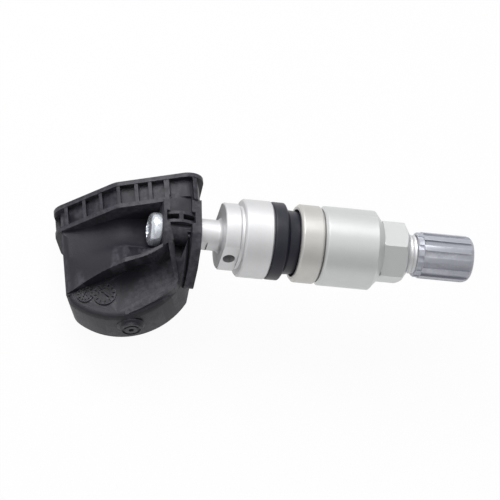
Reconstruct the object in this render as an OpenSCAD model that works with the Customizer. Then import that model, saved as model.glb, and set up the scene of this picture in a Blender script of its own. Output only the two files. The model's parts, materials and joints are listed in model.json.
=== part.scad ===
// Tyre pressure sensor with a clamp-in valve, in millimetres.
// +X runs along the valve towards its cap, +Y towards the potted mouth of the housing.
// The origin is on the valve axis, at the face of the flange that seats in the wheel.

/* [Housing mouth] */
// Angle of the housing to the valve, about the mouth's normal
box_yaw = 20.6; // [12:0.2:28]
// Angle by which the valve dips from the plane of the mouth
box_dip = 4; // [0:0.5:8]
// Left side of the mouth
mouth_left = -41.5; // [-44:0.1:-39]
// Right end of the mouth's front edge
mouth_right = -9.8; // [-11:0.1:-8.5]
// Front edge of the mouth
mouth_front = 10; // [9.4:0.1:11]
// Back edge of the mouth
mouth_back = -8.2; // [-10:0.1:-8]
// Place of the kink in the front edge
mouth_kink = -27.8; // [-30:0.1:-25]
// Angle at which the left part of the front edge falls back
cut_angle = 27; // [20:1:32]
// Angle at which the right side leans in
lean_angle = 15; // [8:1:20]
// Length of the slanting cut at the mouth's front right corner
corner_cut = 2.8; // [1:0.1:4]
// Amount by which the lower flange stops short on the right
low_flange_cut = 2; // [0:0.1:3]
// Radius of the mouth's corners
mouth_r = 3.4; // [2:0.1:4]
// Height of the mouth's rim above the valve axis
mouth_top = 12.1; // [11:0.1:14]
// Height from flange to flange
mouth_h = 5.75; // [5:0.05:7]
// Thickness of each flange
flange_t = 0.9; // [0.6:0.05:1.2]
// Reach of the flanges past the wall
flange_out = 1.25; // [0.8:0.05:1.6]
// Wall of the mouth
mouth_wall = 1.15; // [0.8:0.05:1.5]
// Thickness of the ribs between the flanges
rib_t = 0.7; // [0.5:0.05:1]
// Thickness of the wide rib above the screw
wide_rib_t = 1.05; // [0.8:0.05:1.4]

/* [Housing body] */
// Radius of the round bottom
body_r = 14.1; // [13.7:0.1:14.6]
// Centre of the round bottom along the housing
body_e = -28.8; // [-29.4:0.1:-28.2]
// Left side of the body
body_left = -40; // [-40.4:0.1:-39.4]
// Back face of the body
body_back = -6.5; // [-7.5:0.1:-6.5]
// Face that carries the date dials
face_h = 3.3; // [3:0.1:4]
// Wall of the body
body_wall = 1.15; // [0.8:0.05:1.3]
// Rounding of the body's edges
body_round = 1.2; // [0.6:0.1:1.6]
// Thickness of the curved lip beside the dial face
lip_t = 0.85; // [0.6:0.05:1.1]
// Right end of the dial face, at that lip
face_right = -18.4; // [-19:0.1:-18]
// Inner radius of the lip's bend
lip_bend_r = 2.4; // [1.6:0.1:3]
// Radius of the large date dial
dial_r = 2.25; // [1.8:0.05:2.6]
// Radius of the small date dial
small_dial_r = 1.65; // [1.2:0.05:2]
// Height of the dials above the face
dial_h = 0.35; // [0.2:0.05:0.5]
// Radius of the pressure port's boss
port_r = 2.25; // [1.7:0.05:2.4]
// Height of the port's boss
port_h = 1.1; // [0.8:0.1:1.6]
// Radius of the port's hole
port_hole_r = 0.55; // [0.3:0.05:0.7]
// Height of the blend round the boss
port_blend = 0.5; // [0.3:0.1:0.8]

/* [Screw channel] */
// Depth of the overhanging shelf's tip below the valve axis, at the left
tip_low = 7; // [6:0.1:7.5]
// Thickness of the shelf at its tip
shelf_tip = 0.6; // [0.5:0.1:1.2]
// Clearance round the screw head
channel_gap = 0.6; // [0.4:0.1:1.2]

/* [Fork] */
// Left face of the fork, under the screw head
fork_left = -21.4; // [-22.4:0.1:-21]
// Right face of the fork, against the valve
fork_right = -13.9; // [-14.4:0.1:-13.6]
// Thickness of the fork's left wall
fork_wall_l = 1.2; // [1:0.1:2]
// Thickness of the fork's right wall
fork_wall_r = 1.9; // [1.6:0.1:2.6]
// Front of the fork, in front of the valve axis
fork_front = 3.8; // [3.4:0.1:4.4]
// Thickness of the arched webs
web_t = 0.65; // [0.4:0.05:0.9]
// Depth to which the windows between the webs run into the walls
window_out = 0.65; // [0:0.05:0.8]
// Radius of the sleeve round the screw
sleeve_r = 2.65; // [2.4:0.05:3]

/* [Clamp screw] */
// Radius of the screw head
head_r = 3.35; // [3:0.05:3.6]
// Height of the screw head
head_h = 2.6; // [2.2:0.1:3]
// Radius of the screw's shank
shank_r = 1.6; // [1.4:0.05:1.75]
// Clearance of the shank in the housing
shank_gap = 0.15; // [0.05:0.05:0.25]
// Depth of the screw in the valve
screw_grip = 3.8; // [3:0.1:3.9]

/* [Valve] */
// Radius of the valve's neck
neck_r = 3.05; // [2.8:0.05:3.4]
// Radius of the collar with two flats
dee_r = 6.6; // [6.2:0.05:7]
// Distance across its two flats
dee_flats = 11; // [10:0.1:12]
// Thickness of that collar
dee_t = 3.2; // [2.9:0.1:3.4]
// Turn of the flats about the valve
dee_turn = 171; // [150:1:190]
// Radius of the flange
flange_r = 7.7; // [7.3:0.05:8.2]
// Thickness of the flange
valve_flange_t = 5.8; // [5.4:0.1:6.4]
// Radius of the threaded stem
stem_r = 3.85; // [3.8:0.01:3.95]
// Length of stem that the cap covers
cap_grip = 9.3; // [8.5:0.1:9.8]
// Radius of the air passage
air_r = 1.3; // [1.1:0.05:1.5]
// Radius of the air inlet in the flat
inlet_r = 1.2; // [0.9:0.05:1.3]

/* [Grommet] */
// Radius of the grommet's seat
grommet_r = 7.65; // [7.3:0.05:8]
// Thickness of the grommet's seat
grommet_t = 2.5; // [2:0.1:2.6]
// Radius of the part that goes through the wheel
spigot_r = 6.35; // [6:0.05:6.5]
// Length of the grommet
grommet_len = 6.7; // [6:0.1:6.8]

/* [Collar and nut] */
// Left face of the collar
collar_x = 5.3; // [5.2:0.1:5.8]
// Length of the collar
collar_len = 4.8; // [4.6:0.1:5.2]
// Radius of the collar
collar_r = 7.7; // [7.4:0.05:8]
// Radius of the collar's mouth, round the grommet
collar_bore = 6.65; // [6.6:0.05:6.8]
// Length of the nut's sleeve
sleeve_len = 10.6; // [9:0.1:11]
// Radius of the nut's sleeve
nut_r = 7.85; // [7.6:0.05:8.2]
// Distance across the nut's flats
hex_flats = 11; // [10.8:0.1:11.6]
// Length of the hexagon
hex_len = 5; // [4:0.1:5.2]
// Turn of the hexagon about the valve
hex_turn = 48; // [0:1:59]
// Running clearance of the nut and the cap on the stem
thread_gap = 0.05; // [0.02:0.01:0.09]

/* [Cap] */
// Radius of the cap over its ribs
cap_r = 4.6; // [4.5:0.05:4.9]
// Gap between the nut and the cap
cap_gap = 1.7; // [1.3:0.1:2.5]
// Thickness of the cap's end
cap_top = 1.6; // [1:0.1:2.2]
// Number of grip ribs
cap_ribs = 10; // [8:1:14]

/* [Valve core] */
// Radius of the core's barrel
core_r = 2.45; // [2.3:0.05:2.6]
// Radius of the core's pin
pin_r = 0.5; // [0.4:0.05:0.6]

/* [Electronics] */
// Radius of the coin cell
cell_r = 8; // [6:0.1:8]
// Thickness of the coin cell
cell_t = 3.2; // [2.5:0.1:3.2]
// Thickness of the circuit board
board_t = 0.8; // [0.6:0.1:1]
// Clearance between the parts in the housing
fit = 0.1; // [0.05:0.05:0.2]

/* [Hidden] */
$fn = 64;
eps = 0.01;
far = 60;
rib_at = [-38.6, -34.7, -31.1, -27.3, -23.7, -21];
wide_rib_at = -17.7;
last_rib_at = mouth_right - 2.4;
mouth_low = mouth_top - mouth_h;
mouth_depth = mouth_front - mouth_back;
cut_fall = (mouth_kink - mouth_left) * tan(cut_angle);
lean_fall = mouth_depth * tan(lean_angle);
corner_back = 0.75 * corner_cut;
gap_left = fork_left + fork_wall_l;
gap_right = fork_right - fork_wall_r;
lip_step = 0.8;
recess_front = mouth_front + 4;
inset_all = flange_out + mouth_wall;
body_front = face_h - body_wall;
small_dial_at = [-36.2, -8.1];
dial_at = [-32.4, -8.7];
inner_back = body_back + body_wall;
inner_r = body_r - body_wall;
inner_left = body_left + body_wall;
floor_n = mouth_low + flange_t;
potting_t = 2.7;
potting_top = mouth_top - 0.8;
potting_low = potting_top - potting_t;
flange_start = -valve_flange_t;
dee_end = flange_start - 0.6;
dee_start = dee_end - dee_t;
sleeve_x = collar_x + collar_len + 0.1;
nut_shoulder = sleeve_x + sleeve_len;
shoulder_len = 1.6;
hex_x = nut_shoulder + shoulder_len;
hex_end = hex_x + hex_len;
nut_end = hex_end + 0.6;
nut_bore = stem_r + thread_gap;
collar_spigot_r = 5.9;
collar_spigot_len = 3;
inner_x = collar_x + collar_len;
seal_t = 0.6;
seal_gap = 0.05;
cap_x = nut_end + cap_gap;
stem_end = cap_x + cap_grip;
cap_floor = stem_end + 2 * seal_gap + seal_t;
cap_end = cap_floor + cap_top;
groove_r = 1.5;
core_end = stem_end - 1;
core_len = 8;
core_start = core_end - core_len;
chip_t = 0.85;
board_h = body_front - 2 * fit - chip_t - board_t;
port_chip = [5, 4.6, 1.7];
port_chip_n = -inner_r + 0.9 + port_chip[1] / 2;
radio_chip = [4, 4, chip_t];
crystal = [3.2, 2.5, 0.8];
coil = [7, 2.6, chip_t];
coil_waist = 4;
coil_cheek = 1.4;
strip_len = 10;
strip_foot = 1.2;
strip_t = 0.3;
tab_w = 1.8;
tab_pad_r = 2.6;
tab_reach = 0.6;
membrane_r = 0.55;
membrane_t = 0.3;
inner_right = -17.2;
board_right = inner_right - 0.4;
port_at = [body_e + 0.55, -0.6];
port_wall = 0.45;
port_ring = 0.25;
web_low = 0.15;
web_high = 2.6;
web_rib = 0.8;
web_arc = 5.2;
panel_depth = 1;
pocket_floor = -2.3;
vee_low = 6.2;
vee_end = 1;
tab_t = 0.2;
cell_back = inner_back + fit + tab_t;
cell_mid = 0.2;
air_start = dee_start + 0.35;
inlet_x = dee_start + dee_t / 2;
pin_start = core_start - 1.2;
spring_turns = 6;
spring_start = core_start + 2.1;
spring_len = 4.5;
core_barrel_r = 1.75;

// Puts the housing's own axes, along, up and front, beside the valve's
module housing_axes() { rotate([0, -box_yaw, box_dip]) children(); }
// Extrudes an outline drawn in plan, along and front, between two heights
module plan(low, high) { translate([0, high, 0]) rotate([90, 0, 0]) linear_extrude(high - low) children(); }
// Extrudes an outline drawn from the front, along and up, between two depths
module front(back, face) { translate([0, 0, back]) linear_extrude(face - back) children(); }
// Turns a revolved profile of radius and length onto the valve axis
module on_valve() { rotate([0, 90, 0]) rotate_extrude($fn = 96) children(); }
module valve_tube(from, to, r) { translate([from, 0, 0]) rotate([0, 90, 0]) cylinder(r = r, h = to - from); }

module mouth_outline(inset, right = mouth_right) {
    offset(delta = -inset) offset(r = mouth_r, $fn = 48) offset(delta = -mouth_r)
        polygon([
            [right - corner_cut, mouth_front],
            [mouth_kink, mouth_front],
            [mouth_left, mouth_front - cut_fall],
            [mouth_left, mouth_back],
            [mouth_right - lean_fall, mouth_back],
            [right - corner_back * tan(lean_angle), mouth_front - corner_back]
        ]);
}

// The round bottom seen from the front, with its straight left side
module body_outline(inset) {
    offset(delta = -inset) offset(r = 3.6, $fn = 48) offset(delta = -3.6)
        intersection() {
            union() {
                translate([body_e, 0]) circle(r = body_r, $fn = 96);
                translate([body_e - body_r, 0]) square([2 * body_r, mouth_low + 4.5]);
            }
            translate([body_left, -far]) square([far, 2 * far]);
        }
}

module mouth_ribs() {
    intersection() {
        plan(mouth_low, mouth_top) mouth_outline(0.1);
        union() {
            for (e = rib_at) plan(mouth_low, mouth_top)
                translate([e - rib_t / 2, mouth_back]) square([rib_t, mouth_depth]);
            plan(mouth_low, mouth_top)
                translate([wide_rib_at - wide_rib_t / 2, mouth_back]) square([wide_rib_t, mouth_depth]);
            plan(mouth_low, mouth_top)
                translate([last_rib_at - rib_t / 2, mouth_front - 4]) square([rib_t, 4]);
            for (h = [-4, 0]) plan(mouth_low, mouth_top)
                translate([mouth_left, h - rib_t / 2]) square([inset_all, rib_t]);
        }
    }
}

module mouth_box() {
    plan(mouth_low, mouth_top) mouth_outline(flange_out);
    plan(mouth_top - flange_t, mouth_top) mouth_outline(0);
    plan(mouth_low, mouth_low + flange_t) mouth_outline(0, mouth_right - low_flange_cut);
    mouth_ribs();
}

module round_body() {
    hull() {
        front(body_back, body_back + eps) body_outline(body_round);
        front(body_back + body_round / 3, body_back + body_round) body_outline(0.35 * body_round);
        front(body_back + body_round, face_h - body_round) body_outline(0);
        front(face_h - body_round, face_h - body_round / 3) body_outline(0.35 * body_round);
        front(face_h - eps, face_h) body_outline(body_round);
    }
}

// Sections of the screw channel: place along, back wall, height of the bend at its foot,
// the shelf's tip as depth and height, and how far the shelf's underside rises inwards
channel = [
    [mouth_left - 3, 3.7, 2.6, 3.6, -tip_low - 0.1, 0],
    [-39.5, 3.7, 2.5, 4.4, 0.3 - tip_low, 0],
    [-36.1, 4.1, 2.3, 5.9, -5.9, 0],
    [-32.6, 4.7, 1.9, 7.4, -5.3, 0.3],
    [mouth_kink, 5.6, 1.4, 9.7, -5, 1.5],
    [-23.8, 4.4, 0.8, 9.7, -4.3, 1.7],
    [-20.9, 3.4, 0.45, 9.7, -3.3, 0.6],
    [-18.7, 3.4, 0.2, 9.7, -2.2, 0],
    [-16, 3.4, 0, 9.7, -0.9, 0]
];

// Section between two of them, on a smooth curve through them all
function channel_between(i, t) =
    let (a = channel[max(i - 1, 0)], b = channel[i], c = channel[i + 1], d = channel[min(i + 2, len(channel) - 1)])
    b + (c - a) * t / 2 + (2 * a - 5 * b + 4 * c - d) * t * t / 2 + (3 * b - a - 3 * c + d) * t * t * t / 2;

sections = concat([for (i = [0 : len(channel) - 2]) for (t = [0 : 0.25 : 0.75]) channel_between(i, t)],
    [channel[len(channel) - 1]]);

// Outline of the channel at one section, with a round bend at its foot
function channel_ring(s) =
    let (bend_r = 2.2, wall_top = mouth_low, out = 8,
         down = [s[3] - s[1], s[4] - s[2]], run = norm(down), dir = down / run)
    concat(
        [[s[1] - 0.2, wall_top], [s[1], s[2] + bend_r]],
        [for (k = [1 : 4]) let (t = k / 5, a = [s[1], s[2] + bend_r], c = [s[1], s[2]], b = c + dir * bend_r)
            (1 - t) * (1 - t) * a + 2 * t * (1 - t) * c + t * t * b],
        [[s[1], s[2]] + dir * bend_r, [s[3], s[4]], [s[3], s[4]] + dir * out, [s[3] + out + 4, wall_top]]
    );

// Space under the slanting shelf at one section, down to below the housing
function under_ring(s) =
    let (low = s[4] - shelf_tip, fall = s[5] * (recess_front - s[3]) / (s[3] - face_h))
    [[face_h, -far], [recess_front, -far], [recess_front, low - fall], [face_h, low + s[5]]];

// Solid through rings of points, one ring for each section of the channel
module loft(rings) {
    n = len(rings[0]);
    last = len(rings) - 1;
    points = [for (i = [0 : last]) for (p = rings[i]) [sections[i][0], p[1], p[0]]];
    sides = [for (i = [0 : last - 1]) for (j = [0 : n - 1]) let (a = i * n + j, b = i * n + (j + 1) % n)
        each [[a, b, b + n], [a, b + n, a + n]]];
    polyhedron(points, concat(sides, [[for (j = [n - 1 : -1 : 0]) j]], [[for (j = [0 : n - 1]) last * n + j]]));
}

module screw_channel() { loft([for (s = sections) channel_ring(s)]); }

// Inner edge of the lip seen from the front, from the fork down to the port
function lip_path() = [
    [face_right, far],
    [face_right, -8.9],
    [face_right - 2, -9.75],
    [face_right - 4.8, -11.05],
    [face_right - 7.7, -12.1],
    [body_e, -12.75]
];

module face_outline() {
    offset(r = lip_bend_r, $fn = 48) offset(delta = -lip_bend_r)
        polygon(concat(lip_path(), [[body_e, -far], [-far, -far], [-far, far]]));
}

module dial_recess() {
    intersection() {
        loft([for (s = sections) under_ring(s)]);
        front(face_h - eps, far) face_outline();
    }
}

// Height of the lip above the housing's middle, from the fork down to its end
lip_side = [[2, 10.2], [-2.2, 10.1], [-3.2, 9.6], [-5.5, 7.3], [-7, 5.4], [-8.2, 4.6], [-9.6, 4.2],
    [-11, 3.9], [-12.4, 3.62], [-13.6, 3.4]];

// Lip that runs from the fork's left wall round the dial face, lower towards the port
module curved_lip() {
    foot = face_h - body_round;
    intersection() {
        front(foot, far) intersection() {
            difference() {
                offset(delta = lip_t) face_outline();
                face_outline();
            }
            translate([body_e + 0.1, -far]) square([far, far - 2.4]);
            offset(delta = 0.3) body_outline(0);
        }
        across_valve(body_e, 0) polygon(concat(lip_side, [[-13.6, foot - 1], [2, foot - 1]]));
    }
}

// Side view of the fork, up and front, about the valve axis
module fork_side() {
    offset(r = 1.2, $fn = 40) offset(delta = -1.2) polygon([
        [mouth_low + 1, fork_front],
        [-2, fork_front],
        [-4.8, fork_front - 1.4],
        [-7.6, -0.6],
        [-9.8, -5],
        [-10.6, body_back + 0.5],
        [mouth_low + 1, body_back + 0.5]
    ]);
}

module across_valve(from, to) { translate([from, 0, 0]) rotate([90, 0, 90]) linear_extrude(to - from) children(); }

// The fork keeps below the mouth, and all but its right wall keeps to the body's outline
module fork_block() {
    intersection() {
        union() {
            across_valve(gap_right, fork_right) fork_side();
            difference() {
                across_valve(fork_left, gap_right + eps) fork_side();
                housing_axes() {
                    lip_setback(face_right, 0);
                    lip_setback(face_right + lip_t, lip_step);
                    front(-far, far) difference() {
                        translate([-far, -far]) square([2 * far, far]);
                        translate([body_e, 0]) circle(r = body_r, $fn = 96);
                    }
                }
            }
        }
        housing_axes() plan(-far, mouth_low + eps) translate([-far, -far]) square(2 * far);
    }
}

// Sets the fork back behind the lip's front, and a step further beside it
module lip_setback(from, step) {
    across_valve(from, 0)
        polygon([for (p = lip_side) if (p[0] < -2) [p[0], p[1] - step], [-20, -20], [-20, far], [-2, far]]);
}

module fork_pockets() {
    gap = gap_right - gap_left;
    mid = (gap_left + gap_right) / 2;
    // Panel above the webs, shallow
    translate([gap_left, web_high, fork_front - panel_depth]) cube([gap, mouth_low - web_high, far]);
    // Windows between the webs, either side of their rib, running a little into the walls
    difference() {
        translate([gap_left - window_out, web_low + web_t, 0])
            cube([gap + 2 * window_out, web_high - web_low - 2 * web_t, far]);
        valve_tube(fork_left, fork_right, sleeve_r);
        translate([mid - web_rib / 2, web_low, -eps]) cube([web_rib, web_high - web_low, fork_front]);
    }
    // Pocket below the webs, narrowing to a V
    difference() {
        translate([0, 0, pocket_floor]) linear_extrude(far) polygon([
            [gap_left, web_low],
            [gap_left, -1],
            [mid - vee_end / 2, -vee_low],
            [mid + vee_end / 2, -vee_low],
            [gap_right, -1],
            [gap_right, web_low]
        ]);
        valve_tube(fork_left, fork_right, sleeve_r);
    }
    // Hollow the webs' front edges, proud in the middle
    translate([mid, web_high, 0]) rotate([90, 0, 0]) difference() {
        translate([-gap / 2 - window_out, fork_front - 1.2, 0])
            cube([gap + 2 * window_out, far, web_high - web_low]);
        translate([0, fork_front - web_arc, -1]) cylinder(r = web_arc, h = web_high - web_low + 2);
    }
}

// Puts what follows on the port's axis, running up from the boss's face
module on_port() { translate([port_at[0], -body_r - port_h, port_at[1]]) rotate([-90, 0, 0]) children(); }

module port_boss() {
    on_port() {
        cylinder(r = port_r, h = port_h + 1);
        translate([0, 0, port_h - port_blend]) cylinder(r1 = port_r, r2 = port_r + port_blend, h = port_blend);
    }
}

module port_cuts() {
    on_port() {
        translate([0, 0, -1]) cylinder(r = port_hole_r, h = port_h + body_wall + 2);
        translate([0, 0, -eps]) difference() {
            cylinder(r = port_r - port_wall, h = port_ring);
            translate([0, 0, -1]) cylinder(r = port_r - 2 * port_wall, h = port_ring + 2);
        }
    }
}

module housing_hollow() {
    plan(floor_n, mouth_top + 1) mouth_outline(inset_all);
    front(inner_back, body_front) intersection() {
        body_outline(body_wall);
        translate([inner_left, -far]) square([inner_right - inner_left, far + mouth_low + 2]);
    }
}

module dial(at, r) {
    translate([at[0], at[1], face_h - eps]) difference() {
        cylinder(r = r, h = dial_h);
        translate([0, 0, dial_h - 0.15]) rotate([0, 0, 40]) translate([-0.1, -0.55 * r, 0]) cube([0.2, 1.1 * r, 1]);
        for (a = [0 : 30 : 330]) rotate([0, 0, a])
            translate([-0.09, 0.74 * r, dial_h - 0.12]) cube([0.18, 0.16 * r, 1]);
    }
}

module housing() color([0.2, 0.2, 0.22]) {
    difference() {
        union() {
            housing_axes() {
                difference() {
                    union() {
                        mouth_box();
                        round_body();
                        plan(-tip_low - shelf_tip, mouth_low) intersection() {
                            mouth_outline(0.4);
                            translate([body_left, 0]) square([face_right - body_left, far]);
                        }
                    }
                    screw_channel();
                    dial_recess();
                }
                curved_lip();
                port_boss();
                dial(small_dial_at, small_dial_r);
                dial(dial_at, dial_r);
            }
            difference() {
                fork_block();
                housing_axes() dial_recess();
            }
        }
        // Nothing of the body stands past the fork's right face, below the mouth
        difference() {
            translate([fork_right, -far, -far]) cube(2 * far);
            housing_axes() plan(mouth_low, far) mouth_outline(-2);
        }
        valve_tube(-far, fork_left, head_r + channel_gap);
        fork_pockets();
        valve_tube(-far, fork_right + 1, shank_r + shank_gap);
        housing_axes() {
            housing_hollow();
            port_cuts();
        }
    }
}

module potting_compound() color([0.12, 0.13, 0.12]) housing_axes()
    plan(potting_low, potting_top) mouth_outline(inset_all);

// The board stands behind the dial face, with a tongue up into the mouth
module board_outline() {
    intersection() {
        translate([body_e, 0]) circle(r = inner_r - 0.4, $fn = 96);
        translate([inner_left + 0.4, -far]) square([board_right - inner_left - 0.4, far + potting_low - 0.3]);
    }
}

module circuit_board() color([0.1, 0.35, 0.18]) housing_axes()
    front(board_h, board_h + board_t) board_outline();

module coin_cell() color([0.72, 0.72, 0.7]) housing_axes() translate([body_e, cell_mid, cell_back])
    rotate_extrude($fn = 96) polygon([
        [0, 0],
        [cell_r - 0.3, 0],
        [cell_r, 0.3],
        [cell_r, cell_t - 0.5],
        [cell_r - 0.9, cell_t - 0.3],
        [cell_r - 1.1, cell_t],
        [0, cell_t]
    ]);

module cell_tab_front() color([0.8, 0.78, 0.7]) housing_axes() {
    foot = cell_r + tab_reach;
    front(cell_back + cell_t, cell_back + cell_t + tab_t) {
        translate([body_e, cell_mid]) circle(r = tab_pad_r);
        translate([body_e, cell_mid - tab_w / 2]) square([foot, tab_w]);
    }
    front(cell_back + cell_t, board_h)
        translate([body_e + foot - tab_t, cell_mid - tab_w / 2]) square([tab_t, tab_w]);
}

module cell_tab_back() color([0.8, 0.78, 0.7]) housing_axes() {
    foot = cell_r + tab_reach;
    front(cell_back - tab_t, cell_back) {
        translate([body_e, cell_mid]) circle(r = tab_pad_r);
        translate([body_e - foot, cell_mid - tab_w / 2]) square([foot, tab_w]);
    }
    front(cell_back - tab_t, board_h)
        translate([body_e - foot, cell_mid - tab_w / 2]) square([tab_t, tab_w]);
}

// A box chip whose middle sits at a place along and up, on a face of the board
module chip(at, size, h) {
    front(h, h + size[2]) translate([at[0] - size[0] / 2, at[1] - size[1] / 2]) square([size[0], size[1]]);
}

module pressure_chip() color([0.15, 0.15, 0.16]) housing_axes() difference() {
    chip([port_at[0], port_chip_n], port_chip, board_h - port_chip[2]);
    translate([port_at[0], -far, port_at[1]]) rotate([-90, 0, 0])
        cylinder(r = port_hole_r, h = far + port_chip_n - port_chip[1] / 6);
}

module radio_chip() color([0.13, 0.13, 0.14]) housing_axes()
    chip([body_e - radio_chip[0] / 2, -3.5], radio_chip, board_h + board_t);

module quartz_crystal() color([0.75, 0.74, 0.68]) housing_axes()
    chip([body_e + radio_chip[0], -3.5], crystal, board_h + board_t);

module wake_up_coil() color([0.3, 0.22, 0.18]) housing_axes() difference() {
    at = [body_e - 5, 3];
    chip(at, coil, board_h + board_t);
    for (s = [-1, 1]) chip(at + [0, s * (coil[1] / 2 + 0.3)], [coil_waist, coil_cheek, far], board_h + board_t + 0.3);
}

// Strip that stands in the mouth under the potting, with its feet in the board
module antenna_strip() color([0.78, 0.72, 0.5]) housing_axes() {
    foot = board_h + board_t;
    left = body_e - strip_len / 2;
    plan(potting_low - 2 * strip_t, potting_low - strip_t) translate([left, foot]) square([strip_len, 0.95]);
    for (e = [left, left + strip_len - strip_foot]) front(foot, foot + strip_t)
        translate([e, potting_low - 3]) square([strip_foot, 3 - strip_t]);
}

module vent_membrane() color([0.9, 0.9, 0.88]) housing_axes()
    translate([port_at[0], -inner_r + fit, port_at[1]]) rotate([-90, 0, 0]) cylinder(r = membrane_r, h = membrane_t);

module clamp_screw() color([0.8, 0.81, 0.83]) difference() {
    seat = fork_left;
    on_valve() polygon(concat(
        [[0, fork_right + screw_grip], [shank_r - 0.4, fork_right + screw_grip],
         [shank_r, fork_right + screw_grip - 0.4], [shank_r, seat], [head_r - 0.25, seat],
         [head_r, seat - 0.3]],
        [for (a = [0 : 15 : 90]) [head_r - 1.1 + 1.1 * cos(a), seat - head_h + 1.3 - 1.1 * sin(a)]],
        [[1.4, seat - head_h], [0, seat - head_h]]
    ));
    // Star drive: six round lobes about a core
    translate([seat - head_h - 0.5, 0, 0]) rotate([0, 90, 0]) {
        cylinder(r = 1.25, h = 2, $fn = 32);
        for (a = [0 : 60 : 300]) rotate([0, 0, a]) translate([1.2, 0, 0]) cylinder(r = 0.42, h = 2, $fn = 24);
    }
}

// Turned profile of the valve, outline radius against length
module valve_stem() color([0.78, 0.79, 0.8]) difference() {
    on_valve() polygon([
        [0, fork_right],
        [neck_r - 0.2, fork_right],
        [neck_r, fork_right + 0.2],
        [neck_r, dee_start - 0.5],
        [neck_r + 0.5, dee_start],
        [dee_r - 0.25, dee_start],
        [dee_r, dee_start + 0.25],
        [dee_r, dee_end - 0.2],
        [dee_r - 0.4, dee_end],
        [dee_r - 0.4, flange_start],
        [flange_r - 0.35, flange_start],
        [flange_r, flange_start + 0.35],
        [flange_r, -0.4],
        [flange_r - 0.4, 0],
        [stem_r, 0],
        [stem_r, stem_end - 0.6],
        [stem_r - 0.6, stem_end],
        [0, stem_end]
    ]);
    // The collar's two flats
    rotate([dee_turn, 0, 0]) for (s = [-1, 1])
        translate([dee_start - 0.6, s * (dee_flats / 2 + 5) - 5, -far / 2])
            cube([dee_end - dee_start + 0.6, 10, far]);
    // Small flat milled on the neck, beside the housing
    rotate([180, 0, 0]) translate([fork_right - 1, neck_r - 0.45, -far / 2]) cube([2.6, 10, far]);
    valve_tube(fork_right - 1, fork_right + screw_grip + 0.2, shank_r);
    valve_tube(air_start, core_start - 1, air_r);
    valve_tube(core_start - 1 - eps, stem_end + 1, core_r + thread_gap);
    rotate([dee_turn, 0, 0]) translate([inlet_x, 0, 0]) rotate([-90, 0, 0]) cylinder(r = inlet_r, h = 10, $fn = 48);
}

module grommet() color([0.1, 0.1, 0.1]) on_valve() polygon([
    [stem_r + 0.02, 0.02],
    [grommet_r - 0.2, 0.02],
    [grommet_r, 0.25],
    [grommet_r, grommet_t],
    [spigot_r, grommet_t + 0.8],
    [spigot_r - 0.25, grommet_len - 0.3],
    [spigot_r - 0.55, grommet_len],
    [stem_r + 0.02, grommet_len]
]);

module thrust_collar() color([0.8, 0.78, 0.74]) on_valve() polygon([
    [collar_bore, collar_x],
    [collar_r - 0.5, collar_x],
    [collar_r, collar_x + 0.5],
    [collar_r, inner_x - 0.5],
    [collar_r - 0.5, inner_x],
    [collar_spigot_r, inner_x],
    [collar_spigot_r, inner_x + collar_spigot_len - 0.3],
    [collar_spigot_r - 0.3, inner_x + collar_spigot_len],
    [nut_bore + 0.3, inner_x + collar_spigot_len],
    [nut_bore + 0.3, collar_x + 3.7],
    [collar_bore, collar_x + 3.7]
]);

module collar_nut() color([0.74, 0.75, 0.77]) {
    inside = collar_spigot_r + thread_gap;
    across = hex_flats / 2 / cos(30);
    on_valve() polygon([
        [inside, sleeve_x],
        [nut_r - 0.55, sleeve_x],
        [nut_r, sleeve_x + 0.55],
        [nut_r, nut_shoulder],
        [nut_r - 1.9, hex_x],
        [hex_flats / 2 - 0.3, hex_x],
        [hex_flats / 2 - 0.3, hex_x + 1],
        [nut_bore, hex_x + 1],
        [nut_bore, nut_shoulder - 3],
        [inside, nut_shoulder - 4]
    ]);
    difference() {
        intersection() {
            translate([hex_x, 0, 0]) rotate([hex_turn, 0, 0]) rotate([0, 90, 0]) rotate([0, 0, 90])
                cylinder(r = across, h = hex_len + 0.6, $fn = 6);
            on_valve() polygon([
                [0, hex_x],
                [across + 0.1, hex_x],
                [across + 0.1, hex_end - 0.7],
                [4.4, nut_end],
                [0, nut_end]
            ]);
        }
        valve_tube(hex_x - 1, nut_end + 1, nut_bore);
    }
}

module core_body() color([0.78, 0.66, 0.36]) on_valve() polygon([
    [pin_r + 0.05, core_start],
    [core_barrel_r, core_start],
    [core_barrel_r, core_end - 3.2],
    [core_r, core_end - 2.6],
    [core_r, core_end],
    [1.3, core_end],
    [1.3, spring_start - 0.05],
    [pin_r + 0.05, spring_start - 0.05]
]);

module core_pin() color([0.8, 0.68, 0.4]) on_valve() polygon([
    [0, pin_start],
    [1, pin_start],
    [1, pin_start + 0.5],
    [pin_r, pin_start + 0.5],
    [pin_r, spring_start + spring_len + 0.05],
    [1.15, spring_start + spring_len + 0.05],
    [1.15, spring_start + spring_len + 0.35],
    [pin_r, spring_start + spring_len + 0.35],
    [pin_r, stem_end - 0.3],
    [pin_r - 0.15, stem_end - 0.1],
    [0, stem_end - 0.1]
]);

// Wire coil between the core and the pin's shoulder, swept along its helix
module core_spring() color([0.7, 0.7, 0.72]) {
    wire_r = 0.16;
    coil_r = 0.95;
    steps = spring_turns * 14;
    pitch = (spring_len - 2 * wire_r) / spring_turns;
    points = [for (i = [0 : steps]) let (a = 360 * i / 14, x = spring_start + wire_r + pitch * a / 360)
        for (b = [0 : 60 : 300]) let (r = coil_r + wire_r * cos(b))
            [x + wire_r * sin(b), r * cos(a), r * sin(a)]];
    sides = [for (i = [0 : steps - 1]) for (j = [0 : 5]) let (a = i * 6 + j, b = i * 6 + (j + 1) % 6)
        each [[a, b, b + 6], [a, b + 6, a + 6]]];
    polyhedron(points, concat(sides, [[for (j = [5 : -1 : 0]) j]], [[for (j = [0 : 5]) steps * 6 + j]]));
}

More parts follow.
